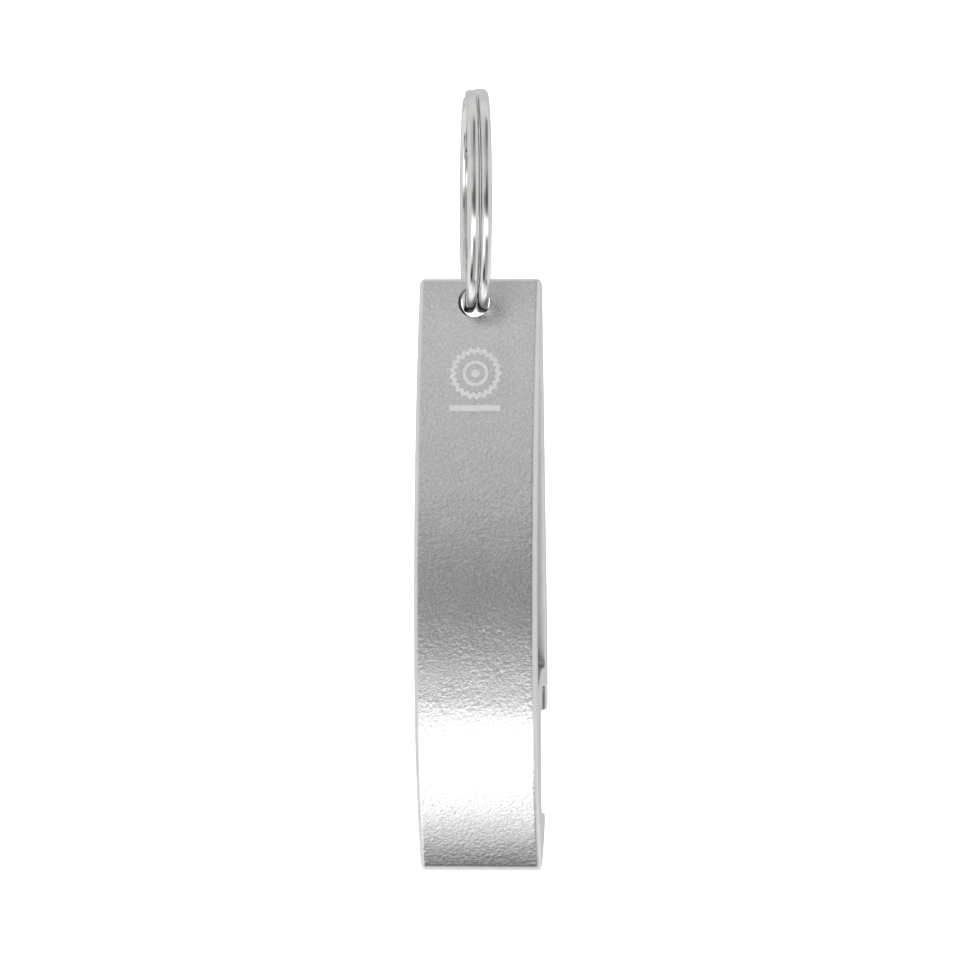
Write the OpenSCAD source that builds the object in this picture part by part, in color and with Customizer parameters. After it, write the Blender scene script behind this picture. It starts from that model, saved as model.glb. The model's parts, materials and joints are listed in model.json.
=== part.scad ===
// Keychain bottle opener: an extruded aluminium body that hangs from a two-turn split ring.
// Millimetres. The origin is the inside top of the ring, where a hook or a key cord holds it.
// +Z is up, the bowed front face looks along -Y, and X runs along the extrusion.

/* [Body] */
// Width of the body, along the extrusion
body_width = 12.5; // [8:0.1:25]
// Radius of the long bow of the front face
bow_radius = 86; // [70:1:86]
// Radius of the tighter curl of the front face, above the tip
curl_radius = 37; // [25:1:37]
// Thickness of the front wall
front_wall = 2; // [1.8:0.1:2.2]
// Thickness of the rear wall
rear_wall = 2.2; // [2:0.1:2.4]
// Thickness of the cross web that carries the hook
web_wall = 2; // [1.6:0.1:2.2]

/* [Ring hole] */
// Diameter of the hole that the ring passes through
hole_diameter = 3.3; // [3.25:0.05:3.6]
// Centre of the hole to the top end of the body
hole_edge = 2.35; // [2.2:0.05:2.6]
// Offset of the hole from the middle of the width
hole_shift = 0.55; // [0:0.05:2]

/* [Cap mouth] */
// Height of the gap that takes a crown cap
mouth_height = 10.4; // [9:0.1:10.8]
// Thickness of the lip that catches the rim of the cap
lip_wall = 2; // [1.6:0.1:2.4]
// Height of the notch above the edge of the lip
notch_height = 2.6; // [2.2:0.1:2.8]

/* [Split ring] */
// Outer diameter of the ring
ring_diameter = 23; // [22:0.5:30]
// Thickness of the wire along the axis of the ring
wire_width = 1.15; // [0.9:0.05:1.15]
// Thickness of the wire from the inside to the outside of the ring
wire_height = 1.8; // [1.4:0.1:1.9]
// Gap between the two turns
turn_gap = 0.1; // [0.05:0.01:0.1]
// Angle in which the wire steps from one turn to the next
jog_angle = 34; // [26:1:50]
// Turn of the ring about the vertical, as it hangs
ring_yaw = 7.5; // [0:0.5:8]

/* [Hidden] */

$fn = 96;
chord_error = 0.005;    // how far the flats of a rounding may stand off its true arc
wire_round = 0.48;      // rounding of the edges of the wire
wire_sag = 0.25;        // the wire lies this far below the middle of the hole
corner_steps = 3;       // points on each rounded corner of the wire
station_step = 6;       // degrees between the sections of the wire
jog_back = 5;           // the step between the turns lies this far behind the top, in degrees

ring_middle = (ring_diameter - wire_height) / 2;
ring_inside = ring_diameter / 2 - wire_height;
hole_z = -ring_inside - ring_middle + wire_sag;
turn_pitch = wire_width + turn_gap;

// Heights of the profile, measured up from the centre of the hole.
bow_z = -18.5;          // where the two tangents of the bow cross
curl_z = -49.6;         // where the two tangents of the curl cross
rear_bend_z = -35.6;    // where the sloping rear face meets the upright back of the hook
tip_z = -58.75;         // the tip before it is rounded
lip_z = -42.15;         // lower edge of the lip
notch_z = lip_z + notch_height;
floor_z = notch_z + web_wall;     // floor of the window
sill_z = lip_z - mouth_height;    // top of the lower block

// Depths of the profile, measured back from the centre of the hole.
rear_y = 8.85;          // rear face of the hook
leg_y = -0.6;           // rear face of the leg below the hook
notch_y = 1.15;         // front wall of the notch
lip_y = rear_y - lip_wall;

// Corners of the body's outline as [depth, height, rounding], from the top round the front face.
body_outline = [
    [-0.75, hole_edge, 0.6],                // top end, front
    [-8.99, bow_z, bow_radius],             // long bow
    [-5.74, curl_z, curl_radius],           // curl
    [0.62, tip_z, 0.9],                     // tip
    [4.25, -55.95, 6],                      // rear of the lower block
    [5.45, sill_z, 0.8],                    // its upper corner
    [0, sill_z, 2.2],                       // foot of the mouth
    [leg_y, lip_z + 0.1, 0.3],              // head of the mouth
    [notch_y, lip_z + 0.1, 1],              // nose between the mouth and the notch
    [notch_y, notch_z, 0.6],
    [lip_y, notch_z, 0.6],
    [lip_y, lip_z, 0.3],                    // front edge of the lip
    [rear_y, lip_z, 1],                     // rear edge of the lip
    [rear_y, rear_bend_z, 12],              // rear face, bend above the hook
    [1.2, hole_edge, 0.6]                   // top end, rear
];

// Corners of the long window between the two walls, in the same order and form.
window_outline = [
    [(front_wall - rear_wall) / 2 - 0.1, -1.7, 0.4],    // narrow top
    [-8.75 + front_wall, -20.56, 82],                   // back of the front wall, a bow again
    [-6.72 + front_wall, -40.3, 0.5],                   // lowest corner
    [1.95, floor_z - 0.15, 1],                          // bend of the floor
    [rear_y - rear_wall, floor_z, 0.6]                  // foot of the rear wall
];

function unit(v) = v / norm(v);
function corner(points, i) = points[(i + len(points)) % len(points)];
function spot(p) = [p[0], p[1]];
function cross_2d(a, b) = a[0] * b[1] - a[1] * b[0];

// Directions from corner i to its two neighbours.
function back_of(points, i) = unit(spot(corner(points, i - 1)) - spot(points[i]));
function ahead_of(points, i) = unit(spot(corner(points, i + 1)) - spot(points[i]));
function half_angle(points, i) = acos(back_of(points, i) * ahead_of(points, i)) / 2;

// The rounding of corner i: its start on the side before, its centre, and the angle it turns through.
function reach(points, i) = points[i][2] / tan(half_angle(points, i));
function round_start(points, i) = spot(points[i]) + back_of(points, i) * reach(points, i);
function round_centre(points, i) =
    spot(points[i]) + unit(back_of(points, i) + ahead_of(points, i))
    * points[i][2] / sin(half_angle(points, i));
function turn(points, i) =
    (180 - 2 * half_angle(points, i)) * sign(cross_2d(-back_of(points, i), ahead_of(points, i)));
function rotated(v, angle) =
    [v[0] * cos(angle) - v[1] * sin(angle), v[0] * sin(angle) + v[1] * cos(angle)];

// Points along every rounding, close enough together that no chord stands off its arc by more
// than chord_error.
function steps(radius, angle) = max(2, ceil(angle / (2 * acos(1 - chord_error / radius))));
function rounded(points) = [
    for (i = [0 : len(points) - 1])
        let (
            centre = round_centre(points, i),
            angle = turn(points, i),
            n = steps(points[i][2], abs(angle))
        )
        for (k = [0 : n]) centre + rotated(round_start(points, i) - centre, angle * k / n)
];

// The extruded body: bowed front wall, straight rear wall, hook, mouth and lower block.
module opener_body() {
    color("silver") translate([0, 0, hole_z]) difference() {
        translate([hole_shift, 0, 0]) rotate([90, 0, 90])
            linear_extrude(height = body_width, center = true) difference() {
                polygon(rounded(body_outline));
                polygon(rounded(window_outline));
            }
        rotate([90, 0, 0]) cylinder(d = hole_diameter, h = 3 * hole_diameter, center = true);
    }
}

// Section of the wire as [along the axis, outwards], anticlockwise.
wire_section = [
    for (turn = [0 : 3], step = [0 : corner_steps - 1])
        let (
            angle = 90 * (turn + step / (corner_steps - 1)),
            side = [cos(90 * turn + 45), sin(90 * turn + 45)] * sqrt(2)
        )
        [
            side[0] * (wire_width / 2 - wire_round) + wire_round * cos(angle),
            side[1] * (wire_height / 2 - wire_round) + wire_round * sin(angle)
        ]
];

// Distance along the axis at a given angle of travel: two flat turns and a smooth step.
function ease(t) = t * t * (3 - 2 * t);
function turn_offset(travel) =
    let (t = min(1, max(0, (travel - 360) / jog_angle + 0.5)))
    turn_pitch * (ease(t) - 0.5);

function wire_point(travel, p) =
    let (angle = travel - jog_back, radius = ring_middle + p[1])
    [turn_offset(travel) + p[0], -radius * sin(angle), radius * cos(angle)];

// One length of wire wound twice round, with its two ends beside the step.
module wound_wire() {
    start = jog_angle / 2;
    stations = ceil((720 - jog_angle) / station_step);
    sides = len(wire_section);
    points = [
        for (k = [0 : stations], p = wire_section)
            wire_point(start + (720 - jog_angle) * k / stations, p)
    ];
    skin = [
        for (k = [0 : stations - 1], i = [0 : sides - 1])
            let (a = k * sides + i, b = k * sides + (i + 1) % sides)
            [a, b, b + sides, a + sides]
    ];
    first_end = [for (i = [sides - 1 : -1 : 0]) i];
    last_end = [for (i = [0 : sides - 1]) stations * sides + i];
    polyhedron(points = points, faces = concat(skin, [first_end, last_end]), convexity = 6);
}

module split_ring() {
    color("gainsboro") translate([0, 0, -ring_inside]) rotate([0, 0, ring_yaw]) wound_wire();
}

opener_body();
split_ring();
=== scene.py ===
"""Looks of the keychain bottle opener: a blasted and anodised aluminium extrusion on a plated split ring.

Lengths inside the builders are in millimetres and are turned to metres when a mesh is made.
"""

import json
import math

import bmesh
import bpy
import numpy as np
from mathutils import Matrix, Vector, geometry, noise


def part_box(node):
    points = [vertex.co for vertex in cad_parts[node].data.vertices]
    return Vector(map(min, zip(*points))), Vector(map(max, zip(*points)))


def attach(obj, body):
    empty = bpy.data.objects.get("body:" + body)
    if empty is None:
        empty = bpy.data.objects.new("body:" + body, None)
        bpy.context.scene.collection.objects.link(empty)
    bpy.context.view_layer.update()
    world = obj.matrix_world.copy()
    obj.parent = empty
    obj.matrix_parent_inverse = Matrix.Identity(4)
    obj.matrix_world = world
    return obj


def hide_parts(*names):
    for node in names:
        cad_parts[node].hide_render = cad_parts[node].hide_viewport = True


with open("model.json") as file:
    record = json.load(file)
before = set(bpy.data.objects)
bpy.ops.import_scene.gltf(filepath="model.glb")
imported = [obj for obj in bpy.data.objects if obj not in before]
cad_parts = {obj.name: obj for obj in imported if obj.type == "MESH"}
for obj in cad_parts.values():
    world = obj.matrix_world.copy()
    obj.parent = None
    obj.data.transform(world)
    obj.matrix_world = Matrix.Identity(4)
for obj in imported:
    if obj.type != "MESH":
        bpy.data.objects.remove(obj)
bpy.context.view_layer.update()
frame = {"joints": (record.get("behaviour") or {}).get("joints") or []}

MM = 0.001

# ---------------------------------------------------------------- places taken from the frame
body_low, body_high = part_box("opener_body")
BODY_WIDTH = (body_high.x - body_low.x) / MM
BODY_MIDDLE_X = (body_high.x + body_low.x) / 2 / MM
HOLE_Z = frame["joints"][0]["pos_m"][2] / MM

# ---------------------------------------------------------------- sizes, in millimetres
HOLE_RADIUS = 1.61
HOLE_EDGE = 2.35        # from the hole's middle up to the top end
HOLE_SIDES = 96
RIM_WIDTH = 0.16        # shallow deburred rim of the hole
RIM_DEPTH = 0.07

# Heights are from the hole's middle, and depths are positive towards the rear.
FRONT_WALL = 2.0
REAR_WALL = 2.2
LIP_Z = -42.15          # lower edge of the lip that catches the cap
NOTCH_Z = LIP_Z + 2.6   # roof of the notch behind the lip
FLOOR_Z = NOTCH_Z + 2.0     # floor of the window, above the web
SILL_Z = LIP_Z - 10.4   # lower edge of the mouth
REAR_Y = 8.85           # rear face
LEG_Y = -0.6            # front of the mouth
NOTCH_Y = 1.15          # front of the notch
LIP_Y = REAR_Y - 2.0    # front of the lip

OUTER_EDGE_ROUND = 0.5      # tumbled edges of the two cut faces
WINDOW_EDGE_ROUND = 0.22
CAP_MARGIN = 0.06           # flat border that keeps the cut faces' shading flat
CAP_SAG = 0.003             # lets no triangle of a cut face lie along a straight side
SMALLEST_ROUND = 0.03
FINE = 0.118                # mesh spacing on the blasted front face
COARSE = 0.45               # mesh spacing elsewhere
WINDOW_SPACING = 1.0        # mesh spacing across the width inside the window
ROUNDING_STEPS = 7
WELD = 0.0002               # vertices closer than this become one

# The blasted skin: size across and height of each kind of unevenness.
DENT_SIZE, DENT_HEIGHT = 0.23, 0.0105
PIT_SIZE, PIT_HEIGHT = 0.17, 0.008
SWAY_SIZE, SWAY_HEIGHT = 2.6, 0.008
PATCH_SIZE = 2.3            # patches with stronger and weaker dents
PATCH_CONTRAST = 0.9
BORDER_SIZE, BORDER_WANDER = 0.5, 0.12      # the ragged border of the blasting
BORDER_START, BORDER_FADE = 0.12, 0.16      # past the flat part, and the width of its fade
BORDER_WIDTH, BORDER_EXTRA = 0.7, 0.5       # stronger dents in a strip along the border
TOP_FADE, TIP_FADE = 0.5, 0.3
BLAST_END_Z = -57.9         # the blasted look ends just above the tip
WORN_FROM, WORN_FADE, WORN_SHARE = 2.4, 2.5, 0.35   # the ring has rubbed the dents down round the hole

# Corners as (depth, height, rounding, share), from the top down the front and up the rear. The share says how
# much of the edge rounding the side after that corner gets.
BODY_OUTLINE = [
    (-0.75, HOLE_EDGE, 0.6, 1),             # top end, front
    (-8.99, -18.5, 86, 1),                  # long bow
    (-5.74, -49.6, 37, 1),                  # curl
    (0.82, -59.06, 1.4, 2.0),               # tip
    (4.25, -55.95, 6, 0.7),                 # rear of the lower block
    (5.45, SILL_Z, 0.8, 0.4),               # its upper corner
    (0, SILL_Z, 2.2, 0.4),                  # foot of the mouth
    (LEG_Y, LIP_Z + 0.1, 0.3, 0.4),         # head of the mouth
    (NOTCH_Y, LIP_Z + 0.1, 1, 0.4),         # nose between the mouth and the notch
    (NOTCH_Y, NOTCH_Z, 0.6, 0.4),
    (LIP_Y, NOTCH_Z, 0.6, 0.4),
    (LIP_Y, LIP_Z, 0.3, 0.5),               # front edge of the lip
    (REAR_Y, LIP_Z, 1, 0.8),                # rear edge of the lip
    (REAR_Y, -35.6, 12, 0.8),               # bend above the hook
    (1.2, HOLE_EDGE, 0.6, 1.5),             # top end, rear
]
WINDOW_OUTLINE = [
    ((FRONT_WALL - REAR_WALL) / 2 - 0.1, -1.7, 0.4, 1),
    (-8.75 + FRONT_WALL, -20.56, 82, 1),
    (-6.72 + FRONT_WALL, -40.3, 0.5, 1),
    (1.95, FLOOR_Z - 0.15, 1, 1),
    (REAR_Y - REAR_WALL, FLOOR_Z, 0.6, 1),
]
FRONT_CORNERS = (1, 2)      # the roundings that make up the front face

RING_DIAMETER = 23.0
WIRE_WIDTH = 1.15
WIRE_HEIGHT = 1.8
WIRE_ROUND = 0.45
WIRE_CORNER_STEPS = 7
WIRE_STATIONS = 480
WIRE_END_ROUND = 1.0    # degrees over which the cut ends are eased
TURN_GAP = 0.1
JOG_ANGLE = 34.0        # degrees over which the wire steps to the second turn
JOG_BACK = 5.0          # the step's middle is this far behind the top, in degrees
RING_YAW = 7.5
RING_MIDDLE = (RING_DIAMETER - WIRE_HEIGHT) / 2
RING_INSIDE = RING_DIAMETER / 2 - WIRE_HEIGHT
TURN_PITCH = WIRE_WIDTH + TURN_GAP


# ---------------------------------------------------------------- outlines with rounded corners
def rounded_corners(corners, inset):
    """Each corner's arc as (centre, start, turn), after every side has moved into the region by inset."""
    arcs = []
    count = len(corners)
    for i, (y, z, radius, share) in enumerate(corners):
        here = np.array((y, z))
        before = here - np.array(corners[i - 1][:2])
        after = np.array(corners[(i + 1) % count][:2]) - here
        before /= np.linalg.norm(before)
        after /= np.linalg.norm(after)
        left_before = np.array((-before[1], before[0]))
        left_after = np.array((-after[1], after[0]))
        turn = math.atan2(before[0] * after[1] - before[1] * after[0], before @ after)
        side = math.copysign(1, turn)
        moves = inset * np.array((corners[i - 1][3], share))
        here = here + np.linalg.solve(np.array((left_before, left_after)), moves)
        radius = max(radius - moves.mean() * side, SMALLEST_ROUND)
        start = here - before * radius * math.tan(abs(turn) / 2)
        arcs.append((start + left_before * radius * side, start, turn))
    return arcs


def arc_point(arc, share):
    centre, start, turn = arc
    angle = turn * share
    spoke = start - centre
    return centre + np.array((
        spoke[0] * math.cos(angle) - spoke[1] * math.sin(angle),
        spoke[0] * math.sin(angle) + spoke[1] * math.cos(angle),
    ))


def outline_steps(corners, fine_corners):
    """How many parts each arc and each straight side is cut into; the same for every inset."""
    arcs = rounded_corners(corners, 0)
    steps = []
    for i, arc in enumerate(arcs):
        fine_arc = i in fine_corners
        fine_side = fine_arc or (i + 1) % len(arcs) in fine_corners
        following = arcs[(i + 1) % len(arcs)]
        arc_length = np.linalg.norm(arc[1] - arc[0]) * abs(arc[2])
        side_length = np.linalg.norm(following[1] - arc_point(arc, 1))
        arc_parts = max(ROUNDING_STEPS, round(arc_length / (FINE if fine_arc else COARSE)))
        side_parts = max(1, round(side_length / (FINE if fine_side else COARSE)))
        steps.append((arc_parts, side_parts))
    return steps


def outline_points(corners, steps, inset, sag=0.0):
    """Points along an outline after its inset. Each straight side can sag into the region."""
    arcs = rounded_corners(corners, inset)
    points = []
    for i, arc in enumerate(arcs):
        arc_parts, side_parts = steps[i]
        end = arc_point(arc, 1)
        side = arcs[(i + 1) % len(arcs)][1] - end
        points += [arc_point(arc, k / arc_parts) for k in range(arc_parts + 1)]
        dip = 4 * sag * np.array((-side[1], side[0])) / np.linalg.norm(side)
        shares = [k / side_parts for k in range(1, side_parts)]
        points += [end + side * t + dip * t * (1 - t) for t in shares]
    return np.array(points)


# ---------------------------------------------------------------- mesh helpers
def make_object(name, vertices_mm, faces):
    mesh = bpy.data.meshes.new(name)
    mesh.from_pydata([tuple(v) for v in np.asarray(vertices_mm) * MM], [], faces)
    mesh.update()
    made = bpy.data.objects.new(name, mesh)
    bpy.context.scene.collection.objects.link(made)
    return made


def shade(piece, sharp_degrees):
    """Smooth shading, with edges over the angle kept sharp."""
    work = bmesh.new()
    work.from_mesh(piece.data)
    bmesh.ops.recalc_face_normals(work, faces=work.faces)
    limit = math.radians(sharp_degrees)
    for face in work.faces:
        face.smooth = True
    for edge in work.edges:
        edge.smooth = len(edge.link_faces) == 2 and edge.calc_face_angle(0) < limit
    work.to_mesh(piece.data)
    work.free()


def tube_faces(rings, around, first, flip):
    """Quads between successive closed rings of vertices."""
    faces = []
    for k in range(rings - 1):
        row = first + k * around
        for j in range(around):
            quad = (row + j, row + (j + 1) % around, row + around + (j + 1) % around, row + around + j)
            faces.append(quad[::-1] if flip else quad)
    return faces


def closed_tube(rings, around):
    """A tube with a flat face at each end."""
    last = rings * around - 1
    ends = [tuple(range(around)), tuple(range(last, last - around, -1))]
    return tube_faces(rings, around, 0, flip=False) + ends


# ---------------------------------------------------------------- opener body
def edge_stations(half_width, radius, middle_spacing):
    """Positions across the width with the inset of the outline there: rounded at both cut faces."""
    rounding = [
        (half_width - radius + radius * math.sin(a), radius * (1 - math.cos(a)))
        for a in (math.pi / 2 * k / ROUNDING_STEPS for k in range(1, ROUNDING_STEPS + 1))
    ]
    flat = 2 * (half_width - radius)
    parts = max(2, round(flat / middle_spacing))
    middle = [(-half_width + radius + flat * k / parts, 0.0) for k in range(parts + 1)]
    left = [(-x, inset) for x, inset in reversed(rounding)]
    return left + middle + rounding


def peened(x, s):
    """Height of the blasted skin at a place across the width and along the front face."""
    dents = noise.noise(Vector((x / DENT_SIZE, s / DENT_SIZE, 1.7)))
    pits = noise.noise(Vector((x / PIT_SIZE, s / PIT_SIZE, 8.3)))
    sway = noise.noise(Vector((x / SWAY_SIZE, s / SWAY_SIZE, 4.9)))
    patch = 1.0 + PATCH_CONTRAST * noise.noise(Vector((x / PATCH_SIZE, s / PATCH_SIZE, 12.1)))
    return patch * (DENT_HEIGHT * dents + PIT_HEIGHT * pits) + SWAY_HEIGHT * sway


def ease(t):
    """A smooth 0 to 1 as t goes from 0 to 1."""
    t = min(1.0, max(0.0, t))
    return t * t * (3 - 2 * t)


def body_shell(corners, fine_corners, sign, radius, middle_spacing, first_vertex):
    """Walls of one outline with rounded cut edges. sign is 1 for the outside and -1 for the window."""
    steps = outline_steps(corners, fine_corners)
    stations = edge_stations(BODY_WIDTH / 2, radius, middle_spacing)
    loops = [outline_points(corners, steps, sign * inset) for _, inset in stations]
    vertices = np.array([
        [(x, y, z) for y, z in loop] for (x, _), loop in zip(stations, loops)
    ])
    around = vertices.shape[1]
    faces = tube_faces(len(stations), around, first_vertex, flip=sign > 0)
    return vertices, faces, steps


def front_range(steps):
    """The first and the last point of the outline that lie on the front face."""
    starts = np.cumsum([0] + [a + s for a, s in steps])
    return starts[FRONT_CORNERS[0]] - steps[0][1] + 1, starts[FRONT_CORNERS[-1] + 1]


def dent_front(vertices, steps):
    """Presses the blasted texture into the front face of the outer shell, fading out at its edges."""
    first, last = front_range(steps)
    middle = vertices[len(vertices) // 2].copy()
    run = np.concatenate([[0], np.cumsum(np.linalg.norm(np.diff(middle, axis=0), axis=1))])
    half_flat = BODY_WIDTH / 2 - OUTER_EDGE_ROUND
    for j in range(first, last):
        along = middle[j + 1] - middle[j - 1]
        out = np.array((0.0, along[2], -along[1])) / np.linalg.norm(along)
        fade_end = ease((run[j] - run[first]) / TOP_FADE) * ease((run[last] - run[j]) / TIP_FADE)
        for loop in vertices:
            x = loop[j][0]
            ragged = BORDER_WANDER * noise.noise(Vector((run[j] / BORDER_SIZE, math.copysign(7, x), 0)))
            fade = fade_end * ease((half_flat + BORDER_START + ragged - abs(x)) / BORDER_FADE)
            if fade > 0:
                from_hole = math.hypot(x + BODY_MIDDLE_X, loop[j][2])
                fade *= WORN_SHARE + (1 - WORN_SHARE) * ease((from_hole - WORN_FROM) / WORN_FADE)
                border = 1 + BORDER_EXTRA * ease((abs(x) - half_flat + BORDER_WIDTH) / 0.5)
                loop[j] += out * peened(x, run[j]) * fade * border


def cap_faces(outer, window, x, start):
    """A flat cut face between the two loops, each with a narrow border so that its shading stays flat."""
    borders = []
    flat = []
    for loop, sign in ((outer, 1), (window, -1)):
        corners, steps, radius = loop
        inset = sign * (radius + CAP_MARGIN)
        borders.append(outline_points(corners, steps, inset))
        flat.append([Vector((y, z, 0)) for y, z in outline_points(corners, steps, inset, sign * CAP_SAG)])
    vertices = [(x, y, z) for border in borders for y, z in border]
    faces = [tuple(start + i for i in triangle) for triangle in geometry.tessellate_polygon(flat)]
    return vertices, faces, len(borders[0])


def ring_bridge(a, b, count, flip):
    """Quads between two closed loops of vertices that start at a and at b."""
    faces = []
    for j in range(count):
        quad = (a + j, a + (j + 1) % count, b + (j + 1) % count, b + j)
        faces.append(quad[::-1] if flip else quad)
    return faces


def opener_solid():
    outer_grid, faces, outer_steps = body_shell(
        BODY_OUTLINE, FRONT_CORNERS, 1, OUTER_EDGE_ROUND, FINE, 0)
    dent_front(outer_grid, outer_steps)
    outer_count = outer_grid.shape[1]
    vertices = outer_grid.reshape(-1, 3).tolist()
    window_first = len(vertices)
    window_grid, window_faces, window_steps = body_shell(
        WINDOW_OUTLINE, (), -1, WINDOW_EDGE_ROUND, WINDOW_SPACING, window_first)
    window_count = window_grid.shape[1]
    vertices += window_grid.reshape(-1, 3).tolist()
    faces += window_faces
    outer = (BODY_OUTLINE, outer_steps, OUTER_EDGE_ROUND)
    window = (WINDOW_OUTLINE, window_steps, WINDOW_EDGE_ROUND)
    ends = (
        (-1, 0, window_first),
        (1, (len(outer_grid) - 1) * outer_count, window_first + (len(window_grid) - 1) * window_count),
    )
    for side, outer_ring, window_ring in ends:
        start = len(vertices)
        cap, triangles, outer_border = cap_faces(outer, window, side * BODY_WIDTH / 2, start)
        vertices += cap
        faces += triangles
        faces += ring_bridge(outer_ring, start, outer_count, side > 0)
        faces += ring_bridge(window_ring, start + outer_border, window_count, side < 0)
    vertices = np.array(vertices) + np.array((BODY_MIDDLE_X, 0, HOLE_Z))
    solid = make_object("opener_body_finished", vertices, faces)
    shade(solid, 180)
    return solid


def face_depth(sign, height):
    """Depth of the body's front face (sign -1) or rear face (sign 1) at a height near the hole."""
    points = outline_points(BODY_OUTLINE, outline_steps(BODY_OUTLINE, ()), 0)
    near = sorted(((z, y) for y, z in points if y * sign > 0 and z > -8))
    return float(np.interp(height, [z for z, _ in near], [y for _, y in near]))


def hole_cutter():
    """A spool that cuts the ring hole with a small rounded rim where it leaves each face."""
    reach = HOLE_EDGE + 2       # past both faces
    grow = 0.1                  # how far the rim runs on past the face, for a clean cut
    highest = HOLE_EDGE - 0.65  # below the rounding of the top end
    profile = []
    for k in range(HOLE_SIDES):
        angle = 2 * math.pi * k / HOLE_SIDES
        c, s = math.cos(angle), math.sin(angle)
        mouth = HOLE_RADIUS + RIM_WIDTH * (0.65 + 0.35 * s)     # narrower where the front leans out
        column = []
        for sign in (-1, 1):
            y_wall = face_depth(sign, min(HOLE_RADIUS * s, highest))
            y_mouth = face_depth(sign, min(mouth * s, highest))
            part = [
                (mouth + grow / 2, sign * reach),
                (mouth + grow / 2, y_mouth + sign * grow),
                (HOLE_RADIUS + 0.35 * (mouth - HOLE_RADIUS), y_wall - sign * 0.6 * RIM_DEPTH),
                (HOLE_RADIUS + 0.08 * (mouth - HOLE_RADIUS), y_wall - sign * RIM_DEPTH),
                (HOLE_RADIUS, y_wall - sign * 1.5 * RIM_DEPTH),
            ]
            column += part if sign < 0 else part[::-1]
        profile.append([(r * c, y, r * s + HOLE_Z) for r, y in column])
    grid = np.array(profile).transpose(1, 0, 2)
    vertices = grid.reshape(-1, 3).tolist()
    faces = closed_tube(len(grid), HOLE_SIDES)
    cutter = make_object("hole_cutter", vertices, faces)
    shade(cutter, 180)
    return cutter


def cut(solid, cutter):
    """Takes the cutter out of the solid, and the cutter out of the scene."""
    modifier = solid.modifiers.new("hole", "BOOLEAN")
    modifier.operation = "DIFFERENCE"
    modifier.solver = "EXACT"
    modifier.object = cutter
    evaluated = solid.evaluated_get(bpy.context.evaluated_depsgraph_get())
    result = bpy.data.meshes.new_from_object(evaluated)
    solid.modifiers.clear()
    work = bmesh.new()
    work.from_mesh(result)
    bmesh.ops.remove_doubles(work, verts=work.verts, dist=WELD * MM)
    bmesh.ops.dissolve_degenerate(work, edges=work.edges, dist=WELD * MM)
    work.to_mesh(result)
    work.free()
    solid.data = result
    bpy.data.objects.remove(cutter)


def in_outline(corners, inset, y, z):
    """Which of the points lie inside an outline, by the crossings of a ray towards +Y."""
    loop = outline_points(corners, outline_steps(corners, ()), inset)
    found = np.zeros(len(y), bool)
    for (y0, z0), (y1, z1) in zip(loop, np.roll(loop, -1, axis=0)):
        if z0 != z1:
            found ^= ((z0 > z) != (z1 > z)) & (y < y0 + (z - z0) * (y1 - y0) / (z1 - z0))
    return found


def mark_surfaces(solid):
    """Numbers per vertex, for the material: blasted is 1 on the front face, and inside is 0.25 in the window,
    1 in the mouth and 2 in the bore."""
    steps = outline_steps(BODY_OUTLINE, FRONT_CORNERS)
    first, last = front_range(steps)
    depths, heights = outline_points(BODY_OUTLINE, steps, 0)[last:first:-1].T
    layer = solid.data.attributes.new("blasted", "FLOAT", "POINT")
    co = np.zeros(len(solid.data.vertices) * 3)
    solid.data.vertices.foreach_get("co", co)
    co = co.reshape(-1, 3) / MM
    expected = np.interp(co[:, 2] - HOLE_Z, heights, depths)
    across = np.abs(co[:, 0] - BODY_MIDDLE_X)
    half_flat = BODY_WIDTH / 2 - OUTER_EDGE_ROUND
    on_face = np.clip((0.09 - np.abs(co[:, 1] - expected)) / 0.05, 0, 1)
    inward = np.clip((half_flat + 0.12 - across) / 0.15, 0, 1)
    upper = np.clip((HOLE_EDGE - 0.25 - (co[:, 2] - HOLE_Z)) / 0.2, 0, 1)
    lower = np.clip((co[:, 2] - HOLE_Z - BLAST_END_Z) / 0.3, 0, 1)
    layer.data.foreach_set("value", on_face * inward * upper * lower)

    # The window, the mouth and the bore get a rougher skin, and painted shade darkens their colour, as shade
    # falls in these hollows.
    rest = across < BODY_WIDTH / 2 - 0.12
    y, z = co[:, 1], co[:, 2] - HOLE_Z
    window = in_outline(WINDOW_OUTLINE, -0.12, y, z)
    mouth = (z < NOTCH_Z + 0.05) & (z > SILL_Z - 0.05) & (y > LEG_Y - 0.05) & (y < LIP_Y + 0.05)
    bore = np.hypot(co[:, 0], z) < HOLE_RADIUS + 0.004
    inner = solid.data.attributes.new("inside", "FLOAT", "POINT")
    inner.data.foreach_set("value", np.where(bore, 2.0, rest * np.where(mouth, 1.0, 0.25 * window)))


# ---------------------------------------------------------------- split ring
def wire_section():
    """The wire's rounded section as (along the axis, outwards)."""
    section = []
    for turn in range(4):
        side_x = math.copysign(1, math.cos(math.pi / 2 * turn + math.pi / 4))
        side_y = math.copysign(1, math.sin(math.pi / 2 * turn + math.pi / 4))
        for step in range(WIRE_CORNER_STEPS):
            angle = math.pi / 2 * (turn + step / (WIRE_CORNER_STEPS - 1))
            section.append((
                side_x * (WIRE_WIDTH / 2 - WIRE_ROUND) + WIRE_ROUND * math.cos(angle),
                side_y * (WIRE_HEIGHT / 2 - WIRE_ROUND) + WIRE_ROUND * math.sin(angle),
            ))
    return section


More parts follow.
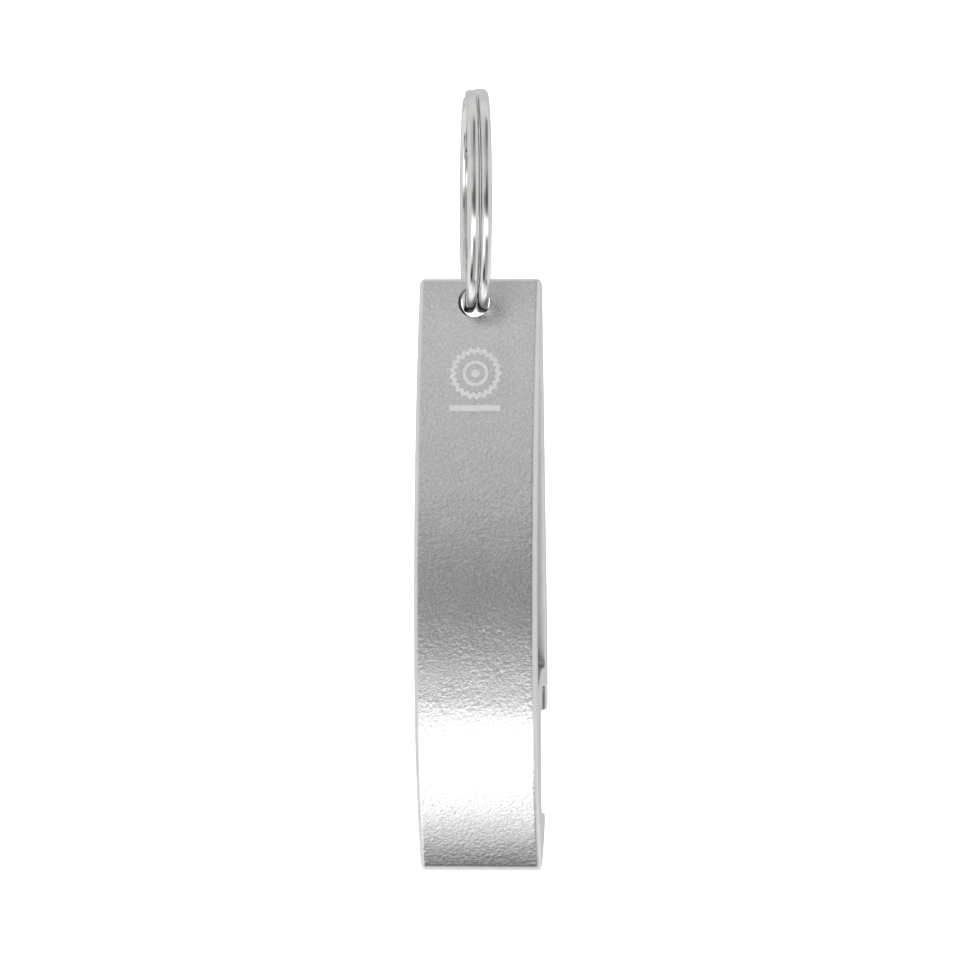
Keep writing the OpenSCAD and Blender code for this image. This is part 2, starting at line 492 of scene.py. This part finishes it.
def ring_wire():
    """Two turns of wire. Along the wire, travel goes in degrees round the ring."""
    section = wire_section()
    start = JOG_ANGLE / 2
    length = 720 - JOG_ANGLE
    end_round = WIRE_END_ROUND
    yaw = math.radians(RING_YAW)
    vertices = []
    travels = [start, start + end_round * 0.25]
    spread = (length - 2 * end_round) / WIRE_STATIONS
    travels += [start + end_round + spread * k for k in range(WIRE_STATIONS + 1)]
    travels += [start + length - end_round * 0.25, start + length]
    shrink = {0: 0.86, 1: 0.95, len(travels) - 2: 0.95, len(travels) - 1: 0.86}
    for k, travel in enumerate(travels):
        offset = TURN_PITCH * (ease((travel - 360) / JOG_ANGLE + 0.5) - 0.5)
        angle = math.radians(travel - JOG_BACK)
        scale = shrink.get(k, 1.0)
        for along, outward in section:
            x = offset + along * scale
            radius = RING_MIDDLE + outward * scale
            y = -radius * math.sin(angle)
            z = radius * math.cos(angle) - RING_INSIDE
            vertices.append((
                x * math.cos(yaw) - y * math.sin(yaw),
                x * math.sin(yaw) + y * math.cos(yaw),
                z,
            ))
    wire = make_object("split_ring_wire", vertices, closed_tube(len(travels), len(section)))
    shade(wire, 40)
    return wire


# ---------------------------------------------------------------- materials
def new_material(name):
    material = bpy.data.materials.new(name)
    material.use_nodes = True
    nodes = material.node_tree.nodes
    nodes.clear()
    output = nodes.new("ShaderNodeOutputMaterial")
    shader = nodes.new("ShaderNodeBsdfPrincipled")
    material.node_tree.links.new(shader.outputs["BSDF"], output.inputs["Surface"])
    return material, shader


class Nodes:
    """Short names for the few node kinds used here."""

    def __init__(self, tree):
        self.tree = tree

    def make(self, kind, **inputs):
        node = self.tree.nodes.new(kind)
        for name, value in inputs.items():
            self.feed(node.inputs[name.replace("_", " ")], value)
        return node

    def feed(self, socket, value):
        if isinstance(value, bpy.types.NodeSocket):
            self.tree.links.new(value, socket)
        else:
            socket.default_value = value

    def math(self, operation, *values, clamp=False):
        node = self.tree.nodes.new("ShaderNodeMath")
        node.operation = operation
        node.use_clamp = clamp
        for socket, value in zip(node.inputs, values):
            self.feed(socket, value)
        return node.outputs[0]

    def attribute(self, name):
        node = self.tree.nodes.new("ShaderNodeAttribute")
        node.attribute_name = name
        return node.outputs["Fac"]

    def step(self, value, low, high):
        """A smooth 0 to 1 as value goes from low to high."""
        node = self.tree.nodes.new("ShaderNodeMapRange")
        node.interpolation_type = "SMOOTHSTEP"
        for socket, number in zip(node.inputs, (value, low, high, 0.0, 1.0)):
            self.feed(socket, number)
        return node.outputs[0]

    def between(self, value, low, high, soft):
        rise = self.step(value, low - soft, low + soft)
        fall = self.step(value, high + soft, high - soft)
        return self.math("MULTIPLY", rise, fall)

    def noise(self, vector, scale, detail=2.0, roughness=0.5):
        node = self.make("ShaderNodeTexNoise", Vector=vector, Scale=scale, Detail=detail, Roughness=roughness)
        return node.outputs["Fac"]

    def mix(self, factor, first, second):
        node = self.tree.nodes.new("ShaderNodeMix")
        node.data_type = "RGBA"
        self.feed(node.inputs[0], factor)
        self.feed(node.inputs[6], first)
        self.feed(node.inputs[7], second)
        return node.outputs[2]


MARK_Z = HOLE_Z - 7.4       # centre of the laser mark
MARK_X = BODY_MIDDLE_X - 0.2
CAP_RADIUS = 2.55
CAP_TEETH = 21
TOOTH_HEIGHT = 0.13
BAR_Z = -3.55               # the bar's middle, from the mark's centre
BAR_HALF_WIDTH, BAR_HALF_HEIGHT = 2.6, 0.3

SKIN_DARK = (0.775, 0.775, 0.785, 1)
SKIN_LIGHT = (0.815, 0.815, 0.82, 1)
PAINTED_GLINT_TONE = (0.97, 0.97, 0.97, 1)
PAINTED_HOLLOW_SHADE_TONE = (0.60, 0.60, 0.61, 1)
RECESS_SHADE_TONE = (0.30, 0.30, 0.305, 1)
BORE_SHADE_TONE = (0.50, 0.50, 0.505, 1)
MARK_TONE = (0.80, 0.80, 0.80, 1)
PLATE_DARK = (0.74, 0.73, 0.715, 1)
PLATE_LIGHT = (0.79, 0.785, 0.775, 1)


def laser_mark(n, x, z):
    """A generic crown cap seen from above, over a plain bar: 1 inside the mark, in object coordinates."""
    soft = 0.03 * MM
    dx = n.math("SUBTRACT", x, MARK_X * MM)
    dz = n.math("SUBTRACT", z, MARK_Z * MM)
    radius = n.math("SQRT", n.math("ADD", n.math("MULTIPLY", dx, dx), n.math("MULTIPLY", dz, dz)))
    angle = n.math("ARCTAN2", dz, dx)
    wave = n.math("COSINE", n.math("MULTIPLY", angle, float(CAP_TEETH)))
    level = n.math("SUBTRACT", radius, n.math("MULTIPLY", wave, TOOTH_HEIGHT * MM))
    rim = n.between(level, (CAP_RADIUS - 0.5) * MM, CAP_RADIUS * MM, soft)
    disc = n.between(radius, 0.98 * MM, 1.3 * MM, soft)
    centre = n.between(radius, -1.0, 0.42 * MM, soft)
    bar_z = n.math("SUBTRACT", dz, BAR_Z * MM)
    bar = n.math(
        "MULTIPLY",
        n.between(dx, -BAR_HALF_WIDTH * MM, BAR_HALF_WIDTH * MM, soft),
        n.between(bar_z, -BAR_HALF_HEIGHT * MM, BAR_HALF_HEIGHT * MM, soft))
    return n.math("MAXIMUM", n.math("MAXIMUM", rim, disc), n.math("MAXIMUM", centre, bar))


def aluminium():
    material, shader = new_material("anodised_aluminium")
    n = Nodes(material.node_tree)
    place = n.make("ShaderNodeTexCoord").outputs["Object"]
    split = n.make("ShaderNodeSeparateXYZ", Vector=place)
    blasted = n.attribute("blasted")
    inside = n.attribute("inside")
    mark = n.math("MULTIPLY", laser_mark(n, split.outputs["X"], split.outputs["Z"]), blasted)

    # Die lines run along the extrusion, so the pattern is stretched along X.
    stretched = n.make("ShaderNodeMapping", Vector=place, Scale=(0.03, 1.0, 1.0)).outputs[0]
    lines = n.noise(stretched, 6000.0, 3.0, 0.6)
    grains = n.noise(place, 6500.0, 2.0, 0.6)
    specks = n.noise(place, 3300.0, 1.0, 0.5)
    clouds = n.noise(place, 260.0, 3.0, 0.55)
    plain = n.math("SUBTRACT", 1.0, blasted)

    tone = n.mix(n.step(clouds, 0.3, 0.7), SKIN_DARK, SKIN_LIGHT)
    # Painted glints: small near-white flecks on the blasted face stand in for the glints its dents catch.
    painted_glints = n.math("MULTIPLY", n.step(specks, 0.67, 0.71), n.math("MULTIPLY", blasted, 0.5))
    tone = n.mix(painted_glints, tone, PAINTED_GLINT_TONE)
    # Painted shade: the blasted face is darkened between the pebbles of this pattern, as shade falls between
    # dents; the pebble tops keep the plain tone.
    pebble_noise = n.noise(place, 5200.0, 2.0, 0.7)
    pebbles = n.math("MULTIPLY", n.step(pebble_noise, 0.40, 0.62), blasted)
    tone = n.mix(n.math("MULTIPLY", n.math("SUBTRACT", blasted, pebbles), 0.55), tone, PAINTED_HOLLOW_SHADE_TONE)
    # Painted shade: the window, the mouth and the bore are darkened by their inside numbers.
    tone = n.mix(n.math("MULTIPLY", n.math("MINIMUM", inside, 1.0), 0.85), tone, RECESS_SHADE_TONE)
    # Painted shade: the upper wall of the bore is darkened further, where it lies in shade.
    bore = n.math("SUBTRACT", inside, 1.0, clamp=True)
    upper = n.step(split.outputs["Z"], (HOLE_Z - 0.95) * MM, (HOLE_Z - 0.45) * MM)
    tone = n.mix(n.math("MULTIPLY", bore, upper), tone, BORE_SHADE_TONE)
    tone = n.mix(mark, tone, MARK_TONE)
    n.feed(shader.inputs["Base Color"], tone)

    plain_rough = n.math("ADD", 0.29, n.math("MULTIPLY", n.math("SUBTRACT", lines, 0.5), 0.12))
    worn = n.step(split.outputs["Z"], (HOLE_Z - 5.5) * MM, (HOLE_Z - 2.0) * MM)     # rubbed smooth by the ring
    blast_rough = n.math("SUBTRACT", 0.2, n.math("MULTIPLY", worn, 0.09))
    blast_rough = n.math("ADD", blast_rough, n.math("MULTIPLY", n.math("SUBTRACT", grains, 0.5), 0.22))
    rough = n.math("ADD", n.math("MULTIPLY", blast_rough, blasted), n.math("MULTIPLY", plain_rough, plain))
    rough = n.math("ADD", rough, n.math("MULTIPLY", mark, 0.25))
    rough = n.math("ADD", rough, n.math("MULTIPLY", inside, 0.1), clamp=True)
    n.feed(shader.inputs["Roughness"], rough)
    metal = n.math("SUBTRACT", 1.0, n.math("MULTIPLY", mark, 0.35))
    n.feed(shader.inputs["Metallic"], metal)

    die_lines = n.math("MULTIPLY", n.math("MULTIPLY", lines, plain), 0.1)
    height = n.math("ADD", n.math("MULTIPLY", grains, blasted), die_lines)
    bump = n.make("ShaderNodeBump", Strength=1.0, Distance=0.018 * MM, Height=height)
    n.feed(shader.inputs["Normal"], bump.outputs[0])
    return material


def plated_steel():
    material, shader = new_material("plated_steel")
    n = Nodes(material.node_tree)
    place = n.make("ShaderNodeTexCoord").outputs["Object"]
    fine = n.noise(place, 2600.0, 3.0, 0.6)
    broad = n.noise(place, 300.0, 2.0, 0.5)
    tone = n.mix(n.step(broad, 0.35, 0.65), PLATE_DARK, PLATE_LIGHT)
    n.feed(shader.inputs["Base Color"], tone)
    shader.inputs["Metallic"].default_value = 1.0
    rough = n.math("ADD", 0.09, n.math("MULTIPLY", n.step(fine, 0.55, 0.8), 0.12))
    n.feed(shader.inputs["Roughness"], rough)
    bump = n.make("ShaderNodeBump", Strength=0.25, Distance=0.006 * MM, Height=fine)
    n.feed(shader.inputs["Normal"], bump.outputs[0])
    return material


# ---------------------------------------------------------------- the object
opener = opener_solid()
cut(opener, hole_cutter())
shade(opener, 32)
mark_surfaces(opener)
opener.data.materials.clear()
opener.data.materials.append(aluminium())
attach(opener, "opener")
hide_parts("opener_body")

ring = ring_wire()
ring.data.materials.append(plated_steel())
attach(ring, "ring")
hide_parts("split_ring")


# ---------------------------------------------------------------- stage, light and camera
def pale_floor():
    """A white floor that sweeps up into a backdrop."""
    half = 2.0
    low = body_low.z - 0.03
    bend = 0.6
    back = 1.3
    path = [(-1.6, low), (0.0, low)]
    path += [
        (back - bend + bend * math.sin(a), low + bend * (1 - math.cos(a)))
        for a in (math.pi / 2 * k / 24 for k in range(25))
    ]
    path += [(back, 2.2)]
    vertices = [(x, y, z) for y, z in path for x in (-half, half)]
    faces = [(2 * k, 2 * k + 1, 2 * k + 3, 2 * k + 2) for k in range(len(path) - 1)]
    mesh = bpy.data.meshes.new("floor")
    mesh.from_pydata(vertices, [], faces)
    floor = bpy.data.objects.new("floor", mesh)
    bpy.context.scene.collection.objects.link(floor)
    for face in mesh.polygons:
        face.use_smooth = True
    material, shader = new_material("pale_floor")
    n = Nodes(material.node_tree)
    place = n.make("ShaderNodeTexCoord").outputs["Object"]
    paper = n.noise(place, 40.0, 4.0, 0.6)
    n.feed(shader.inputs["Base Color"], n.mix(paper, (0.90, 0.90, 0.90, 1), (0.92, 0.92, 0.92, 1)))
    shader.inputs["Roughness"].default_value = 0.9
    shader.inputs["Emission Color"].default_value = (1.0, 1.0, 1.0, 1.0)
    shader.inputs["Emission Strength"].default_value = 0.55
    mesh.materials.append(material)
    floor.visible_glossy = False


# Levels of the studio in front, as (elevation in degrees, level). Here, left of the camera, where the front
# face looks: a dim gap at eye height, the bright table below it, and the shade close to the object.
LEFT_LEVELS = (
    (-90, 0.12), (-80, 0.03), (-75, 0.05), (-71, 0.22), (-66, 0.62), (-60, 1.02), (-55, 1.32), (-49, 1.70),
    (-43, 1.95), (-35, 2.00), (-28, 1.90), (-22, 1.50), (-18, 1.14), (-14, 0.79), (-10, 0.51), (-6, 0.36),
    (-2, 0.28), (2, 0.28), (5, 0.39), (8, 0.56), (12, 0.70), (17, 0.68), (22, 0.60), (28, 0.63),
    (35, 0.74), (40, 0.72), (46, 0.52), (60, 0.60), (90, 0.80),
)
# Right of the camera, where the ring looks: darker, with one narrow bright panel.
RIGHT_LEVELS = (
    (-90, 0.60), (-80, 0.55), (-66, 0.40), (-54, 0.30), (-46, 0.32), (-41, 0.50), (-36, 1.60), (-31, 2.40),
    (-26, 2.40), (-21, 1.20), (-16, 0.36), (-10, 0.18), (-3, 0.12), (4, 0.14), (10, 0.18), (18, 0.28),
    (26, 0.40), (34, 0.46), (46, 0.42), (56, 0.32), (66, 0.22), (76, 0.18), (90, 0.40),
)
LEVEL_TOP = 2.5             # the level that a ramp's full white stands for
AROUND_LEVEL = 0.80
BEHIND_LEVEL = 0.66
BELOW_LEVEL = 0.95          # low behind the object, which the undersides see


def studio_world():
    """A pale light tent round the object, with the front lit as LEFT_LEVELS and RIGHT_LEVELS say. What the
    camera sees directly is plain white."""
    world = bpy.data.worlds.new("studio")
    bpy.context.scene.world = world
    world.use_nodes = True
    tree = world.node_tree
    tree.nodes.clear()
    n = Nodes(tree)
    way = n.make("ShaderNodeTexCoord").outputs["Generated"]
    split = n.make("ShaderNodeSeparateXYZ", Vector=way)
    x, y, z = (split.outputs[k] for k in "XYZ")
    sideways = n.math("MULTIPLY", n.math("ARCSINE", x), 180 / math.pi)
    height = n.math("ADD", 0.5, n.math("MULTIPLY", n.math("ARCSINE", z), 1 / math.pi))

    def by_height(levels):
        ramp = n.make("ShaderNodeValToRGB", Fac=height)
        ramp.color_ramp.interpolation = "B_SPLINE"
        stops = ramp.color_ramp.elements
        for i, (elevation, level) in enumerate(levels):
            inner_stop = 0 < i < len(levels) - 1
            stop = stops.new((elevation + 90) / 180) if inner_stop else stops[-1 if i else 0]
            share = level / LEVEL_TOP
            stop.color = (share, share, share, 1)
        return n.math("MULTIPLY", ramp.outputs["Color"], LEVEL_TOP)

    def weighted(share, first, second):
        return n.math(
            "ADD", n.math("MULTIPLY", first, share),
            n.math("MULTIPLY", second, n.math("SUBTRACT", 1.0, share)))

    low = n.step(z, -0.05, -0.35)
    behind = weighted(low, BELOW_LEVEL, BEHIND_LEVEL)
    beside = weighted(n.math("MULTIPLY", low, n.step(y, -0.1, 0.1)), BELOW_LEVEL, AROUND_LEVEL)
    around = weighted(n.step(y, 0.35, 0.85), behind, beside)
    front = weighted(n.step(sideways, -1.0, 5.0), by_height(RIGHT_LEVELS), by_height(LEFT_LEVELS))
    ahead = n.math("MULTIPLY", n.between(sideways, -32.0, 20.0, 6.0), n.step(y, 0.15, -0.05))
    level = weighted(ahead, front, around)

    seen = n.make("ShaderNodeLightPath").outputs["Is Camera Ray"]
    studio = n.make("ShaderNodeBackground", Color=(1.0, 1.0, 1.0, 1), Strength=level)
    plain = n.make("ShaderNodeBackground", Color=(1.0, 1.0, 1.0, 1), Strength=1.0)
    both = n.tree.nodes.new("ShaderNodeMixShader")
    n.feed(both.inputs[0], seen)
    n.feed(both.inputs[1], studio.outputs[0])
    n.feed(both.inputs[2], plain.outputs[0])
    output = n.tree.nodes.new("ShaderNodeOutputWorld")
    n.feed(output.inputs["Surface"], both.outputs[0])


def overhead_light():
    data = bpy.data.lights.new("overhead", "AREA")
    data.shape = "SQUARE"
    data.size = 1.6
    data.energy = 22.0
    light = bpy.data.objects.new("overhead", data)
    light.location = (0.0, 0.25, 1.4)
    light.visible_glossy = False
    bpy.context.scene.collection.objects.link(light)


def photo_camera():
    azimuth = math.radians(4.9)
    distance = 575.0
    sideways = 0.63                      # the optical axis passes this far right of the body's middle
    front = Vector((BODY_MIDDLE_X, -7.25, HOLE_Z + HOLE_EDGE - 20.71))
    right = Vector((math.cos(azimuth), math.sin(azimuth), 0))
    back = Vector((math.sin(azimuth), -math.cos(azimuth), 0))
    data = bpy.data.cameras.new("camera")
    data.lens = 212.6
    data.sensor_width = 36.0
    camera = bpy.data.objects.new("camera", data)
    camera.location = (front + right * sideways + back * distance) * MM
    camera.rotation_euler = (math.pi / 2, 0, azimuth)
    bpy.context.scene.collection.objects.link(camera)
    bpy.context.scene.camera = camera


pale_floor()
studio_world()
overhead_light()
photo_camera()
bpy.context.scene.view_settings.view_transform = "Standard"
